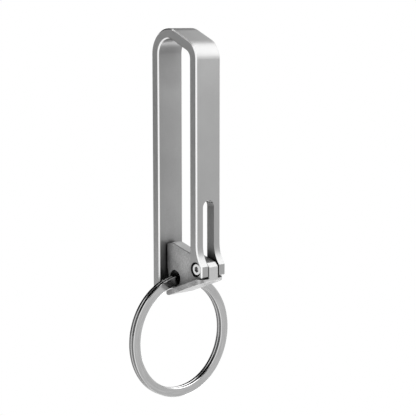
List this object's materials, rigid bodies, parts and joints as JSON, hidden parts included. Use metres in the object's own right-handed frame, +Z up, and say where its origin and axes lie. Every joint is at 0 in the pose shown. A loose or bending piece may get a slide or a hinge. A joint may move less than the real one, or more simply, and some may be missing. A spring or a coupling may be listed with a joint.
{
  "type": "belt key clip",
  "caption": "Slim metal clip that hangs over a belt, an upside-down U with a sprung hinged gate at its foot and a flat split ring for keys.",
  "frame": {"origin": "highest point inside the U, on the middle plane of the strip, where the belt's top edge sits", "axes": "+X across the strip (the screw head is on the -X side), +Y to the rear leg, +Z up"},
  "size_m": [0.03, 0.0177, 0.0886],
  "materials": {
    "titanium_frame": "fine bead-blasted titanium with bright chamfers",
    "titanium_gate": "fine bead-blasted titanium",
    "hinge_steel": "turned stainless steel",
    "washer_bronze": "stamped bronze",
    "spring_steel": "drawn spring steel",
    "ring_steel": "tumbled stainless steel"
  },
  "bodies": {
    "frame": {"clip_frame": "titanium_frame", "pivot_barrel": "hinge_steel", "pivot_screw": "hinge_steel", "left_thrust_washer": "washer_bronze", "right_thrust_washer": "washer_bronze"},
    "gate": {"gate_lever": "titanium_gate", "torsion_spring": "spring_steel"},
    "ring": {"split_ring": "ring_steel"}
  },
  "joints": [
    {"name": "gate_hinge", "type": "hinge", "parent": "frame", "child": "gate", "pos_m": [0, -0.0096, -0.0531], "axis": [1, 0, 0], "range_deg": [0, 90], "stiffness_Nm_per_rad": 0.0016, "springref_deg": -20.05, "deforming": ["torsion_spring"]},
    {"name": "ring_swing", "type": "hinge", "parent": "gate", "child": "ring", "pos_m": [0, 0.0005, -0.0569], "axis": [1, 0, 0], "range_deg": [-100, 60]}
  ]
}
